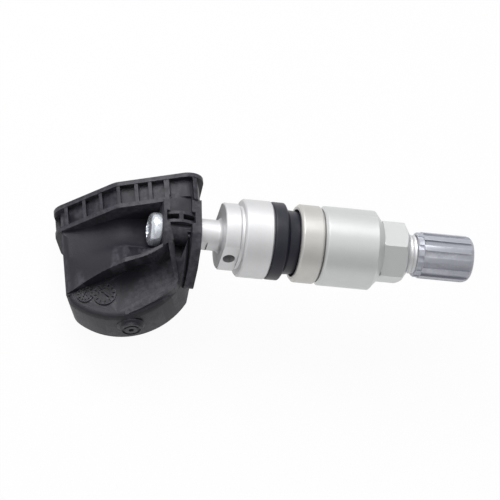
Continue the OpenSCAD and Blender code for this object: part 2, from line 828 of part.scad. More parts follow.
module core_seal() color([0.16, 0.16, 0.16]) on_valve() polygon([
    [pin_r + 0.02, core_start - 0.62],
    [1.15, core_start - 0.62],
    [1.15, core_start - 0.05],
    [pin_r + 0.02, core_start - 0.05]
]);

module core_gasket() color([0.9, 0.9, 0.88]) on_valve() polygon([
    [core_barrel_r + 0.02, core_end - 4.6],
    [core_r - 0.1, core_end - 4.6],
    [core_r, core_end - 4.3],
    [core_r, core_end - 3.6],
    [core_barrel_r + 0.02, core_end - 3.4]
]);

// Turned cap with round grooves between its grip ribs
module valve_cap() color([0.6, 0.61, 0.65]) difference() {
    on_valve() polygon([
        [0, cap_x],
        [cap_r - 0.2, cap_x],
        [cap_r, cap_x + 0.2],
        [cap_r, cap_end - 1.4],
        [cap_r - 0.25, cap_end - 0.7],
        [cap_r - 0.85, cap_end - 0.15],
        [cap_r - 1.4, cap_end],
        [0, cap_end]
    ]);
    for (i = [0 : cap_ribs - 1]) rotate([i * 360 / cap_ribs, 0, 0])
        translate([cap_x + 1.2, cap_r + groove_r - 0.5, 0]) rotate([0, 90, 0])
            cylinder(r = groove_r, h = far, $fn = 32);
    valve_tube(cap_x - 1, cap_floor, nut_bore);
}

module cap_seal() color([0.15, 0.15, 0.15]) on_valve() polygon([
    [1.2, stem_end + seal_gap],
    [stem_r - 0.25, stem_end + seal_gap],
    [stem_r - 0.25, cap_floor - seal_gap],
    [1.2, cap_floor - seal_gap]
]);

housing();
potting_compound();
circuit_board();
coin_cell();
cell_tab_front();
cell_tab_back();
pressure_chip();
radio_chip();
quartz_crystal();
wake_up_coil();
antenna_strip();
vent_membrane();
clamp_screw();
valve_stem();
grommet();
thrust_collar();
collar_nut();
core_body();
core_pin();
core_spring();
core_seal();
core_gasket();
valve_cap();
cap_seal();
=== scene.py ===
# Looks of the tyre pressure sensor: the housing gets its mould radii and dials, the stem
# its thread, the cap its grooves, and every surface its own finish.
import json
import math
import bpy
from mathutils import Matrix, Vector


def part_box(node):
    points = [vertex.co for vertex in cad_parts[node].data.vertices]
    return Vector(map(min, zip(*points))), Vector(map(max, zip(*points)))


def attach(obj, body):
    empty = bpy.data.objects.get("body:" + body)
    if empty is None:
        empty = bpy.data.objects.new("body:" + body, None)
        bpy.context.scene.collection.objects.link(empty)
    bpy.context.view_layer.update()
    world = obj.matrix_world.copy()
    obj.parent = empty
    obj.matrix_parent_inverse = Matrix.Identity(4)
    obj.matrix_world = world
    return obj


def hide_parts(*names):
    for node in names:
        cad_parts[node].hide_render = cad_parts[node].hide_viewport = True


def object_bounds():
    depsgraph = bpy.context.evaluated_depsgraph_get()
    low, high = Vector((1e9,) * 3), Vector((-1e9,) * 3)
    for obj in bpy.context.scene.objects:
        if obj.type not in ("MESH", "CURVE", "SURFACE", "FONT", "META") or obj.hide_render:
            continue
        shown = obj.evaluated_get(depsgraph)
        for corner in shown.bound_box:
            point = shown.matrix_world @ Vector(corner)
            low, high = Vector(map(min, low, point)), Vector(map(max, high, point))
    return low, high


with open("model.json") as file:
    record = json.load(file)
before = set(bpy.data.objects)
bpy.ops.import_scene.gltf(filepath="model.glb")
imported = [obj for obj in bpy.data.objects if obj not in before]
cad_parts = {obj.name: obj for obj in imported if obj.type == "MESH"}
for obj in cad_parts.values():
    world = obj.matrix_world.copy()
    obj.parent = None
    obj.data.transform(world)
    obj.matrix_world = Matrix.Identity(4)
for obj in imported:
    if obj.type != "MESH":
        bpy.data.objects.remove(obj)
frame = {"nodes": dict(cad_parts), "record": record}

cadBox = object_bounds()
mm = 0.001
mergeWithin = 0.001 * mm     # vertices closer than this become one
flatWithin = 0.5             # degrees: triangles this level with each other become one face
nodes = frame["nodes"]
bodyOfNode = {n: b for b, names in frame["record"]["behaviour"]["bodies"].items() for n in names}
slotOfNode = {s["node"]: s["material_slot"] for s in frame["record"]["subparts"]}
print("frame loaded:", len(nodes), "nodes")

# Camera: a long lens at the photograph's angle, in the row frame
cameraSettings = {
    "right": (0.974, -0.0201, 0.2269),     # the picture's right
    "up": (-0.093, 0.8741, 0.4770),        # the picture's top
    "pixelsPerMm": 5.1,
    "pictureSize": 500,
    "originPixel": (267.1, 240.46),        # where the row's origin falls
    "lens": 300.0,
    "sensor": 36.0,
    "clip": (0.05, 20),                    # near and far, in camera distances
}


def pictureAxes(s):
    right = Vector(s["right"]).normalized()
    up = (Vector(s["up"]) - right * right.dot(Vector(s["up"]))).normalized()
    return right, up, right.cross(up)


def makeCamera(s):
    right, up, back = pictureAxes(s)
    half = s["pictureSize"] / 2
    distance = s["pictureSize"] / s["pixelsPerMm"] * mm * s["lens"] / s["sensor"]
    aimRight = (half - s["originPixel"][0]) / s["pixelsPerMm"] * mm
    aimUp = (s["originPixel"][1] - half) / s["pixelsPerMm"] * mm
    bpy.ops.object.camera_add()
    cam = bpy.context.object
    cam.name = "photoCamera"
    cam.data.lens = s["lens"]
    cam.data.sensor_width = s["sensor"]
    cam.data.clip_start = distance * s["clip"][0]
    cam.data.clip_end = distance * s["clip"][1]
    turn = Matrix((right, up, back)).transposed().to_4x4()
    place = right * aimRight + up * aimUp + back * distance
    cam.matrix_world = Matrix.Translation(place) @ turn
    bpy.context.scene.camera = cam


makeCamera(cameraSettings)
bpy.context.scene.view_settings.view_transform = "Standard"
print("camera placed")


# Modelling helpers
def onlySelect(obj):
    if bpy.context.mode != "OBJECT":
        bpy.ops.object.mode_set(mode="OBJECT")
    bpy.ops.object.select_all(action="DESELECT")
    obj.select_set(True)
    bpy.context.view_layer.objects.active = obj


def applyModifier(obj, kind, **values):
    onlySelect(obj)
    mod = obj.modifiers.new(kind.lower(), kind)
    for key, value in values.items():
        setattr(mod, key, value)
    bpy.ops.object.modifier_apply(modifier=mod.name)


def freeze(obj):
    onlySelect(obj)
    bpy.ops.object.transform_apply(location=True, rotation=True, scale=True)


def mergedCopy(node, name):
    # A copy of a CAD node with its loose triangles merged and its flat faces joined
    onlySelect(nodes[node])
    bpy.ops.object.duplicate()
    piece = bpy.context.object
    piece.name = name
    piece.data.name = name
    piece.data.materials.clear()
    for key in list(piece.keys()):
        del piece[key]
    place = piece.matrix_world.copy()
    piece.parent = None
    piece.matrix_world = place
    freeze(piece)
    bpy.ops.object.mode_set(mode="EDIT")
    bpy.ops.mesh.select_all(action="SELECT")
    bpy.ops.mesh.remove_doubles(threshold=mergeWithin)
    bpy.ops.mesh.dissolve_limited(angle_limit=math.radians(flatWithin))
    bpy.ops.object.mode_set(mode="OBJECT")
    return piece


def closeShape(shape, name):
    # Names a new shape and turns its faces outward
    shape.name = name
    shape.data.name = name
    onlySelect(shape)
    bpy.ops.object.mode_set(mode="EDIT")
    bpy.ops.mesh.select_all(action="SELECT")
    bpy.ops.mesh.normals_make_consistent(inside=False)
    bpy.ops.object.mode_set(mode="OBJECT")
    return shape


def cutAway(piece, cutter):
    applyModifier(piece, "BOOLEAN", operation="DIFFERENCE", object=cutter, solver="EXACT")
    bpy.data.objects.remove(cutter)


def roundEdges(piece, width, angle=28):
    # Every edge sharper than the angle, in two segments
    applyModifier(piece, "BEVEL", width=width * mm, segments=2, limit_method="ANGLE",
                  angle_limit=math.radians(angle), use_clamp_overlap=True, harden_normals=False)


def finishPiece(piece, node, smooth=35, weighted=False):
    # Shading, finish, and the place of the CAD node that the piece stands for
    onlySelect(piece)
    bpy.ops.object.shade_smooth_by_angle(angle=math.radians(smooth))
    if weighted:
        applyModifier(piece, "WEIGHTED_NORMAL", keep_sharp=True, weight=100)
    piece.data.materials.clear()
    piece.data.materials.append(finishes[slotOfNode[node]])
    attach(piece, bodyOfNode[node])
    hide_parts(node)


# Shader node groups
def newGroup(name, inputs, outputs):
    group = bpy.data.node_groups.new(name, "ShaderNodeTree")
    for label, kind, value in inputs:
        socket = group.interface.new_socket(name=label, in_out="INPUT", socket_type=kind)
        if value is not None:
            socket.default_value = value
    for label, kind in outputs:
        group.interface.new_socket(name=label, in_out="OUTPUT", socket_type=kind)
    return group, group.nodes.new("NodeGroupInput"), group.nodes.new("NodeGroupOutput")


def addNode(tree, kind, **values):
    made = tree.nodes.new(kind)
    for key, value in values.items():
        setattr(made, key, value)
    return made


def mathNode(tree, operation, a, b=None, clamp=False):
    made = addNode(tree, "ShaderNodeMath", operation=operation, use_clamp=clamp)
    for place, value in enumerate((a, b)):
        if value is None:
            continue
        if isinstance(value, (int, float)):
            made.inputs[place].default_value = value
        else:
            tree.links.new(value, made.inputs[place])
    return made.outputs[0]


def noiseNode(tree, vector, scale, detail, roughness):
    made = addNode(tree, "ShaderNodeTexNoise")
    made.inputs["Detail"].default_value = detail
    made.inputs["Roughness"].default_value = roughness
    tree.links.new(scale, made.inputs["Scale"])
    tree.links.new(vector, made.inputs["Vector"])
    return made.outputs["Fac"]


def makeGrain():
    # Fine moulded or blasted grain, with slow mottling
    group, gin, gout = newGroup("mouldGrain", [
        ("Vector", "NodeSocketVector", None), ("Fine Scale", "NodeSocketFloat", 4000.0),
        ("Coarse Scale", "NodeSocketFloat", 300.0), ("Coarse Share", "NodeSocketFloat", 0.3)],
        [("Height", "NodeSocketFloat"), ("Mottle", "NodeSocketFloat")])
    place = gin.outputs["Vector"]
    fine = noiseNode(group, place, gin.outputs["Fine Scale"], detail=3.0, roughness=0.6)
    coarse = noiseNode(group, place, gin.outputs["Coarse Scale"], detail=3.0, roughness=0.55)
    lifted = mathNode(group, "MULTIPLY", coarse, gin.outputs["Coarse Share"])
    group.links.new(mathNode(group, "ADD", fine, lifted), gout.inputs["Height"])
    group.links.new(coarse, gout.inputs["Mottle"])
    return group


def makeTurning():
    # Fine rings left by a lathe, and broad bands for the roughness
    group, gin, gout = newGroup("latheRings", [
        ("Vector", "NodeSocketVector", None), ("Ring Scale", "NodeSocketFloat", 6000.0),
        ("Scratch Scale", "NodeSocketFloat", 900.0), ("Wrap", "NodeSocketFloat", 0.0006)],
        [("Height", "NodeSocketFloat"), ("Streak", "NodeSocketFloat")])
    parts = addNode(group, "ShaderNodeSeparateXYZ")
    group.links.new(gin.outputs["Vector"], parts.inputs[0])
    y2 = mathNode(group, "MULTIPLY", parts.outputs["Y"], parts.outputs["Y"])
    z2 = mathNode(group, "MULTIPLY", parts.outputs["Z"], parts.outputs["Z"])
    radius = mathNode(group, "SQRT", mathNode(group, "ADD", y2, z2))
    along = addNode(group, "ShaderNodeCombineXYZ")
    group.links.new(parts.outputs["X"], along.inputs[0])
    group.links.new(radius, along.inputs[1])
    rings = noiseNode(group, along.outputs[0], gin.outputs["Ring Scale"], detail=2.0, roughness=0.6)
    angle = mathNode(group, "ARCTAN2", parts.outputs["Y"], parts.outputs["Z"])
    wrapped = addNode(group, "ShaderNodeCombineXYZ")
    group.links.new(parts.outputs["X"], wrapped.inputs[0])
    for place, wave in ((1, "SINE"), (2, "COSINE")):
        bent = mathNode(group, "MULTIPLY", mathNode(group, wave, angle), gin.outputs["Wrap"])
        group.links.new(bent, wrapped.inputs[place])
    streak = noiseNode(group, wrapped.outputs[0], gin.outputs["Scratch Scale"], detail=4.0, roughness=0.6)
    group.links.new(rings, gout.inputs["Height"])
    group.links.new(streak, gout.inputs["Streak"])
    return group


def makeEdgeWearAndHighlight():
    # Rubbed edges and painted edge highlights: a mask where the surface is sharp and outward, broken up
    # by noise
    group, gin, gout = newGroup("edgeWearAndHighlight", [
        ("Vector", "NodeSocketVector", None), ("Start", "NodeSocketFloat", 0.52),
        ("Gain", "NodeSocketFloat", 12.0), ("Break Scale", "NodeSocketFloat", 900.0),
        ("Break Start", "NodeSocketFloat", 0.3), ("Break Gain", "NodeSocketFloat", 2.2)],
        [("Mask", "NodeSocketFloat")])
    shape = addNode(group, "ShaderNodeNewGeometry")
    over = mathNode(group, "SUBTRACT", shape.outputs["Pointiness"], gin.outputs["Start"])
    sharp = mathNode(group, "MULTIPLY", over, gin.outputs["Gain"], clamp=True)
    spots = noiseNode(group, gin.outputs["Vector"], gin.outputs["Break Scale"],
                      detail=4.0, roughness=0.65)
    kept = mathNode(group, "SUBTRACT", spots, gin.outputs["Break Start"])
    broken = mathNode(group, "MULTIPLY", kept, gin.outputs["Break Gain"], clamp=True)
    group.links.new(mathNode(group, "MULTIPLY", sharp, broken), gout.inputs["Mask"])
    return group


def makeRange():
    # A mask spread between two values
    group, gin, gout = newGroup("spreadRange", [
        ("Value", "NodeSocketFloat", 0.5), ("Low", "NodeSocketFloat", 0.0),
        ("High", "NodeSocketFloat", 1.0)], [("Value", "NodeSocketFloat")])
    span = mathNode(group, "SUBTRACT", gin.outputs["High"], gin.outputs["Low"])
    spread = mathNode(group, "MULTIPLY", span, gin.outputs["Value"])
    group.links.new(mathNode(group, "ADD", spread, gin.outputs["Low"]), gout.inputs["Value"])
    return group


grainGroup = makeGrain()
turningGroup = makeTurning()
wearAndHighlightGroup = makeEdgeWearAndHighlight()
rangeGroup = makeRange()


def useGroup(tree, group, **links):
    made = addNode(tree, "ShaderNodeGroup", node_tree=group)
    for key, value in links.items():
        socket = made.inputs[key.replace("_", " ")]
        if isinstance(value, (int, float)):
            socket.default_value = value
        else:
            tree.links.new(value, socket)
    return made


def mixColor(tree, mask, first, second):
    made = addNode(tree, "ShaderNodeMix", data_type="RGBA")
    tree.links.new(mask, made.inputs["Factor"])
    for place, value in ((6, first), (7, second)):
        if isinstance(value, tuple):
            made.inputs[place].default_value = (*value, 1)
        else:
            tree.links.new(value, made.inputs[place])
    return made.outputs[2]


# Finishes: colours are linear, grain sizes are noise scales, heights in metres. A turned
# finish has lathe rings, as strong as ringShare beside the grain.
ringShare = 0.7
usualFinish = {"height": 0.00002, "metallic": 0.0, "wearAndHighlight": 0.55, "specular": 0.5, "turned": False}
finishSettings = {
    "housing": {
        "color": (0.0125, 0.012, 0.018), "mottle": (0.018, 0.0172, 0.024),
        # edge: a painted highlight along the housing's sharp edges, lighter than its plastic
        "edge": (0.075, 0.073, 0.088), "rough": (0.42, 0.54), "fine": 3600.0, "coarse": 240.0,
        "bump": 0.6, "height": 0.00006, "wearAndHighlight": 0.525, "specular": 0.3},
    "potting": {
        "color": (0.012, 0.012, 0.013), "mottle": (0.02, 0.02, 0.021), "edge": (0.03, 0.03, 0.03),
        "rough": (0.18, 0.34), "fine": 700.0, "coarse": 120.0, "bump": 0.15, "height": 0.0001,
        "wearAndHighlight": 0.7},
    "board": {
        "color": (0.01, 0.095, 0.04), "mottle": (0.016, 0.13, 0.055), "edge": (0.25, 0.22, 0.12),
        "rough": (0.28, 0.42), "fine": 2500.0, "coarse": 350.0, "bump": 0.12, "height": 0.00003,
        "wearAndHighlight": 0.6},
    "cell": {
        "color": (0.62, 0.62, 0.6), "mottle": (0.54, 0.54, 0.53), "edge": (0.72, 0.72, 0.7),
        "rough": (0.22, 0.36), "fine": 5000.0, "coarse": 500.0, "bump": 0.08, "metallic": 1.0},
    "tab": {
        "color": (0.6, 0.56, 0.46), "mottle": (0.52, 0.48, 0.4), "edge": (0.7, 0.66, 0.55),
        "rough": (0.28, 0.42), "fine": 5000.0, "coarse": 700.0, "bump": 0.1, "metallic": 1.0},
    "chip": {
        "color": (0.022, 0.022, 0.024), "mottle": (0.03, 0.03, 0.032), "edge": (0.05, 0.05, 0.05),
        "rough": (0.42, 0.58), "fine": 6000.0, "coarse": 900.0, "bump": 0.25},
    "crystal": {
        "color": (0.62, 0.6, 0.54), "mottle": (0.55, 0.53, 0.48), "edge": (0.72, 0.7, 0.64),
        "rough": (0.2, 0.34), "fine": 6000.0, "coarse": 900.0, "bump": 0.08, "metallic": 1.0},
    "coil": {
        "color": (0.055, 0.04, 0.032), "mottle": (0.075, 0.055, 0.042), "edge": (0.12, 0.09, 0.07),
        "rough": (0.45, 0.6), "fine": 5000.0, "coarse": 700.0, "bump": 0.3, "height": 0.00003},
    "antenna": {
        "color": (0.66, 0.56, 0.3), "mottle": (0.58, 0.49, 0.26), "edge": (0.76, 0.66, 0.38),
        "rough": (0.25, 0.4), "fine": 5000.0, "coarse": 700.0, "bump": 0.08, "metallic": 1.0},
    "membrane": {
        "color": (0.74, 0.74, 0.72), "mottle": (0.66, 0.66, 0.64), "edge": (0.8, 0.8, 0.78),
        "rough": (0.6, 0.75), "fine": 9000.0, "coarse": 1500.0, "bump": 0.4},
    "screw": {
        "color": (0.64, 0.67, 0.72), "mottle": (0.6, 0.63, 0.68), "edge": (0.78, 0.8, 0.84),
        "rough": (0.22, 0.27), "fine": 4000.0, "coarse": 500.0, "bump": 0.01, "height": 0.00001,
        "metallic": 0.75, "wearAndHighlight": 0.6},
    "valve": {
        "color": (0.66, 0.66, 0.67), "mottle": (0.61, 0.61, 0.62), "edge": (0.76, 0.76, 0.77),
        "rough": (0.46, 0.56), "fine": 6000.0, "coarse": 420.0, "bump": 0.12, "height": 0.00003,
        "metallic": 0.8, "wearAndHighlight": 0.56, "turned": True},
    "grommet": {
        "color": (0.006, 0.006, 0.015), "mottle": (0.015, 0.0155, 0.026),
        "edge": (0.03, 0.03, 0.04), "rough": (0.3, 0.5), "fine": 2600.0, "coarse": 420.0,
        "bump": 0.2, "height": 0.00004, "wearAndHighlight": 0.56, "specular": 0.4},
    "collar": {
        "color": (0.57, 0.56, 0.54), "mottle": (0.52, 0.51, 0.49), "edge": (0.68, 0.67, 0.65),
        "rough": (0.36, 0.48), "fine": 7000.0, "coarse": 500.0, "bump": 0.12, "height": 0.00003,
        "metallic": 0.8, "wearAndHighlight": 0.56, "turned": True},
    "nut": {
        "color": (0.62, 0.63, 0.63), "mottle": (0.58, 0.59, 0.59), "edge": (0.7, 0.71, 0.71),
        "rough": (0.34, 0.46), "fine": 7000.0, "coarse": 500.0, "bump": 0.1, "height": 0.00003,
        "metallic": 0.75, "wearAndHighlight": 0.56, "turned": True},
    "core": {
        "color": (0.62, 0.48, 0.2), "mottle": (0.54, 0.42, 0.18), "edge": (0.72, 0.58, 0.28),
        "rough": (0.24, 0.38), "fine": 6000.0, "coarse": 700.0, "bump": 0.08, "metallic": 1.0,
        "turned": True},
    "spring": {
        "color": (0.56, 0.56, 0.57), "mottle": (0.48, 0.48, 0.49), "edge": (0.66, 0.66, 0.67),
        "rough": (0.2, 0.34), "fine": 6000.0, "coarse": 900.0, "bump": 0.06, "height": 0.00001,
        "metallic": 1.0},
    "seal": {
        "color": (0.016, 0.016, 0.017), "mottle": (0.026, 0.026, 0.028),
        "edge": (0.04, 0.04, 0.04), "rough": (0.42, 0.6), "fine": 5000.0, "coarse": 700.0,
        "bump": 0.2},
    "gasket": {
        "color": (0.7, 0.7, 0.67), "mottle": (0.62, 0.62, 0.6), "edge": (0.78, 0.78, 0.75),
        "rough": (0.36, 0.5), "fine": 5000.0, "coarse": 700.0, "bump": 0.1},
    "cap": {
        # edge: a painted highlight along the cap's sharp edges
        "color": (0.4, 0.41, 0.465), "mottle": (0.425, 0.435, 0.49), "edge": (0.62, 0.63, 0.68),
        "rough": (0.26, 0.34), "fine": 3600.0, "coarse": 420.0, "bump": 0.1, "height": 0.00003,
        "metallic": 0.35, "wearAndHighlight": 0.515},
}


def makeFinish(name, s):
    mat = bpy.data.materials.new(name + "Finish")
    mat.use_nodes = True
    tree = mat.node_tree
    shader = tree.nodes["Principled BSDF"]
    place = addNode(tree, "ShaderNodeTexCoord").outputs["Object"]
    grain = useGroup(tree, grainGroup, Vector=place, Fine_Scale=s["fine"], Coarse_Scale=s["coarse"])
    # Edge colour laid over sharp outward edges; on the housing and the cap it is a painted highlight
    wearAndHighlight = useGroup(tree, wearAndHighlightGroup, Vector=place, Start=s["wearAndHighlight"])
    surface = mixColor(tree, grain.outputs["Mottle"], s["color"], s["mottle"])
    surface = mixColor(tree, wearAndHighlight.outputs["Mask"], surface, s["edge"])
    tree.links.new(surface, shader.inputs["Base Color"])
    height, patch = grain.outputs["Height"], grain.outputs["Mottle"]
    if s["turned"]:
        rings = useGroup(tree, turningGroup, Vector=place)
        lathe = mathNode(tree, "MULTIPLY", rings.outputs["Height"], ringShare)
        height = mathNode(tree, "ADD", lathe, height)
        patch = rings.outputs["Streak"]
    rough = useGroup(tree, rangeGroup, Value=patch, Low=s["rough"][0], High=s["rough"][1])
    tree.links.new(rough.outputs["Value"], shader.inputs["Roughness"])
    bump = addNode(tree, "ShaderNodeBump")
    bump.inputs["Strength"].default_value = s["bump"]
    bump.inputs["Distance"].default_value = s["height"]
    tree.links.new(height, bump.inputs["Height"])
    tree.links.new(bump.outputs["Normal"], shader.inputs["Normal"])
    shader.inputs["Metallic"].default_value = s["metallic"]
    shader.inputs["Specular IOR Level"].default_value = s["specular"]
    return mat


finishes = {name: makeFinish(name, {**usualFinish, **s}) for name, s in finishSettings.items()}
for nodeName, obj in nodes.items():
    obj.data.materials.clear()
    obj.data.materials.append(finishes[slotOfNode[nodeName]])
print("finishes made:", len(finishes))

# Housing: one moulding, every edge a small mould radius
housingSettings = {
    "edge": 0.14, "yaw": 20.6, "dip": 4.0,          # mould radius, and how it sits on the valve
    "dialTop": 3.65,                                # height of the dial face
    "burrLow": (-18.6, -7.9, 5.25), "burrHigh": (-18.2, -7.25, 11.0),
}
dialSettings = [                                    # places in the housing's own axes
    {"name": "monthDial", "at": (-36.2, -8.1), "radius": 1.65, "arrow": 50.0, "ticks": 12},
    {"name": "yearDial", "at": (-32.4, -8.7), "radius": 2.25, "arrow": 138.0, "ticks": 12},
]
dialCuts = {                                        # widths and depths in mm, the rest in radii
    "tickWide": 0.24, "tickDeep": 0.20, "tickFrom": 0.68, "tickTo": 0.92,
    "disc": 0.57, "discDeep": 0.155, "discSides": 48,
    "arrowDeep": 0.30, "shaft": 0.055, "tail": -0.46, "neck": 0.12, "head": 0.17, "tip": 0.46,
}


def makeTickCutter(s, d):
    # The middle disc and the ticks round it, built flat about the origin
    r = s["radius"]
    bpy.ops.object.select_all(action="DESELECT")
    bpy.ops.mesh.primitive_cylinder_add(vertices=d["discSides"], radius=d["disc"] * r * mm,
                                        depth=2 * d["discDeep"] * mm)
    disc = bpy.context.object
    bpy.ops.object.select_all(action="DESELECT")
    middle, long = (d["tickFrom"] + d["tickTo"]) / 2 * r, (d["tickTo"] - d["tickFrom"]) * r
    bpy.ops.mesh.primitive_cube_add(size=1, location=(0, middle * mm, 0),
                                    scale=(d["tickWide"] * mm, long * mm, 2 * d["tickDeep"] * mm))
    ticks = bpy.context.object
    freeze(ticks)
    bpy.ops.object.mode_set(mode="EDIT")
    bpy.ops.mesh.select_all(action="SELECT")
    bpy.ops.mesh.spin(steps=s["ticks"] - 1, angle=2 * math.pi * (s["ticks"] - 1) / s["ticks"],
                      dupli=True, center=(0, 0, 0), axis=(0, 0, 1))
    bpy.ops.object.mode_set(mode="OBJECT")
    disc.select_set(True)
    bpy.ops.object.join()
    return closeShape(ticks, s["name"] + "Ticks")


def makeArrowCutter(s, d):
    r = s["radius"] * mm
    outline = [(d["tail"], -d["shaft"]), (d["neck"], -d["shaft"]), (d["neck"], -d["head"]),
               (d["tip"], 0), (d["neck"], d["head"]), (d["neck"], d["shaft"]), (d["tail"], d["shaft"])]
    bpy.ops.object.select_all(action="DESELECT")
    bpy.ops.mesh.primitive_circle_add(vertices=len(outline), radius=1 * mm, fill_type="NGON")
    arrow = bpy.context.object
    for v, (x, y) in zip(arrow.data.vertices, outline):
        v.co = (x * r, y * r, -d["arrowDeep"] * mm)
    arrow.rotation_euler = (0, 0, math.radians(s["arrow"]))
    freeze(arrow)
    bpy.ops.object.mode_set(mode="EDIT")
    bpy.ops.mesh.select_all(action="SELECT")
    bpy.ops.mesh.extrude_region_move(TRANSFORM_OT_translate={"value": (0, 0, 2 * d["arrowDeep"] * mm)})
    bpy.ops.object.mode_set(mode="OBJECT")
    return closeShape(arrow, s["name"] + "Arrow")


def housingTurn(h):
    # From the housing's own axes to the row frame
    dip = Matrix.Rotation(math.radians(h["dip"]), 4, "Z")
    return dip @ Matrix.Rotation(math.radians(-h["yaw"]), 4, "Y")


def cutBurr(piece, h):
    # The solid has a hair of 0.02 mm beside the lip, which no moulding has
    low, high = Vector(h["burrLow"]), Vector(h["burrHigh"])
    bpy.ops.object.select_all(action="DESELECT")
    bpy.ops.mesh.primitive_cube_add(size=1, scale=(high - low) * mm)
    cutter = closeShape(bpy.context.object, "burrCutter")
    cutter.matrix_world = housingTurn(h) @ Matrix.Translation((low + high) / 2 * mm) @ cutter.matrix_world
    freeze(cutter)
    cutAway(piece, cutter)


def cutDial(piece, s, d, h):
    place = housingTurn(h) @ Matrix.Translation((s["at"][0] * mm, s["at"][1] * mm, h["dialTop"] * mm))
    for make in (makeTickCutter, makeArrowCutter):
        cutter = make(s, d)
        cutter.matrix_world = place
        freeze(cutter)
        cutAway(piece, cutter)


housingPiece = mergedCopy("housing", "housingMoulding")
cutBurr(housingPiece, housingSettings)
roundEdges(housingPiece, housingSettings["edge"])
for dial in dialSettings:
    cutDial(housingPiece, dial, dialCuts, housingSettings)
finishPiece(housingPiece, "housing", weighted=True)
print("housing:", len(housingPiece.data.polygons), "faces")

# Turned metal pieces and the rubber seal: edges broken as on the lathe or in the mould
edgeSettings = {
    "clamp_screw": ("clampScrew", 0.10), "grommet": ("rubberGrommet", 0.16),
    "thrust_collar": ("thrustCollar", 0.10), "collar_nut": ("collarNut", 0.10),
}
for nodeName, (pieceName, width) in edgeSettings.items():
    turned = mergedCopy(nodeName, pieceName)
    roundEdges(turned, width)
    finishPiece(turned, nodeName, weighted=True)
print("turned pieces dressed")

# Valve stem: the CAD stem with a real helical thread cut along its end
threadSettings = {
    "pitch": 0.79375, "major": 3.85, "depth": 0.42, "from": 14.0, "to": 38.7,
    "proud": 0.06,                                  # how far the cutter stands out of the stem
    "half": 0.46,                                   # half the groove's mouth, in pitches
    "steps": 40, "edge": 0.09, "smooth": 40,
}


def makeThreadCutter(s):
    turns = math.ceil((s["to"] - s["from"]) / s["pitch"])
    out = s["major"] + s["proud"]
    half = s["pitch"] * s["half"]
    bpy.ops.object.select_all(action="DESELECT")
    bpy.ops.mesh.primitive_circle_add(vertices=3, radius=1 * mm, fill_type="NOTHING")
    cutter = bpy.context.object
    corners = [(s["from"] - half, out), (s["from"], s["major"] - s["depth"]), (s["from"] + half, out)]
    for v, (x, r) in zip(cutter.data.vertices, corners):
        v.co = (x * mm, 0, r * mm)
    cutter.matrix_world = Matrix.Identity(4)
    applyModifier(cutter, "SCREW", axis="X", angle=2 * math.pi * turns,
                  screw_offset=s["pitch"] * turns * mm, steps=s["steps"] * turns,
                  render_steps=s["steps"] * turns, use_merge_vertices=False)
    onlySelect(cutter)
    bpy.ops.object.mode_set(mode="EDIT")
    bpy.ops.mesh.select_all(action="DESELECT")
    bpy.ops.mesh.select_non_manifold(extend=False)
    bpy.ops.mesh.fill_holes(sides=4)
    return closeShape(cutter, "threadCutter")


stemPiece = mergedCopy("valve_stem", "valveStem")
roundEdges(stemPiece, threadSettings["edge"])
cutAway(stemPiece, makeThreadCutter(threadSettings))
finishPiece(stemPiece, "valve_stem", threadSettings["smooth"], weighted=True)
print("stem:", len(stemPiece.data.polygons), "faces")

# Cap: turned blank with square grooves, and pockets in the ring at its mouth. Lengths
# are in mm from the mouth.
capSettings = {
    "outside": [(0, 4.22), (0.2, 4.42), (1.15, 4.42), (1.2, 4.6), (10.1, 4.6), (10.7, 4.47),
                (11.15, 4.15), (11.45, 3.75), (11.6, 3.2)],       # length, radius
    "bore": 3.9, "boreEnd": 10.0, "steps": 96, "edge": 0.06, "edgeAngle": 20,
}
capCuts = [
    {"name": "grooveCutter", "count": 12, "turn": 114.2, "from": 1.2, "to": 12.5,
     "floor": 4.20, "wide": 1.22},
    {"name": "pocketCutter", "count": 12, "turn": 129.2, "from": -0.2, "to": 1.1,
     "floor": 4.18, "wide": 1.0},
]
cutHeight = 2.0          # each box reaches this far outward from its floor


def makeCapBlank(s, start):
    profile = [(s["boreEnd"], 0), (s["boreEnd"], s["bore"]), (0, s["bore"]), *s["outside"],
               (s["outside"][-1][0], 0)]
    bpy.ops.object.select_all(action="DESELECT")
    bpy.ops.mesh.primitive_circle_add(vertices=len(profile), radius=1 * mm, fill_type="NOTHING")
    blank = bpy.context.object
    for v, (x, r) in zip(blank.data.vertices, profile):
        v.co = (start + x * mm, 0, r * mm)
    blank.matrix_world = Matrix.Identity(4)
    onlySelect(blank)
    bpy.ops.object.mode_set(mode="EDIT")
    bpy.ops.mesh.select_all(action="SELECT")
    bpy.ops.mesh.spin(steps=s["steps"], angle=2 * math.pi, center=(0, 0, 0), axis=(1, 0, 0))
    bpy.ops.mesh.select_all(action="SELECT")
    bpy.ops.mesh.remove_doubles(threshold=mergeWithin)
    bpy.ops.mesh.select_all(action="DESELECT")
    bpy.ops.mesh.select_loose()
    bpy.ops.mesh.delete(type="EDGE")
    return closeShape(blank, "valveCap")


